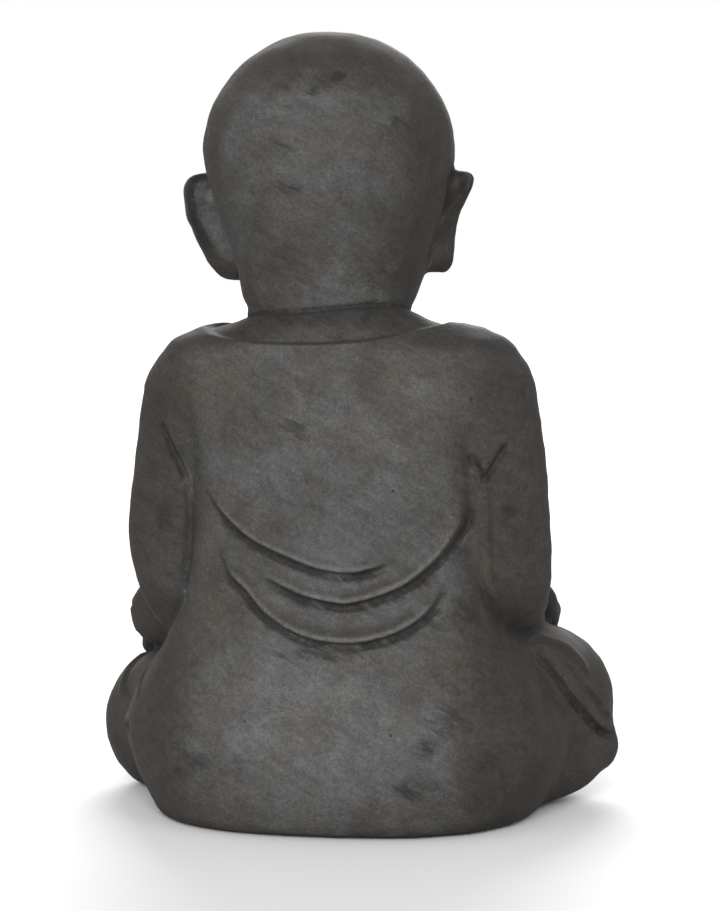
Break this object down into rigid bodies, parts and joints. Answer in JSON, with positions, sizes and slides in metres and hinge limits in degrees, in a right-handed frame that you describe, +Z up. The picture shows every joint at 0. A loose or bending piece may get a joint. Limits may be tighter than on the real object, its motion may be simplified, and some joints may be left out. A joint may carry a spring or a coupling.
{
  "type": "seated monk garden statue",
  "caption": "Seated child monk cast in one piece as a garden figure: shaved head, long ears, a draped robe with hanging folds across the back, hands resting on crossed knees, flat underside.",
  "frame": {"origin": "middle of the figure's outline seen from above, on the ground it stands on", "axes": "+Z up from the ground to the crown of the head, -Y the way the monk faces, +X towards its left hand"},
  "size_m": [0.3448, 0.2744, 0.5],
  "materials": {
    "cast_stone": "matt dark grey casting with a paler wash on the broad faces, brown tints and black dirt in the hollows"
  },
  "bodies": {
    "root": {"monk_figure": "cast_stone"}
  },
  "joints": []
}
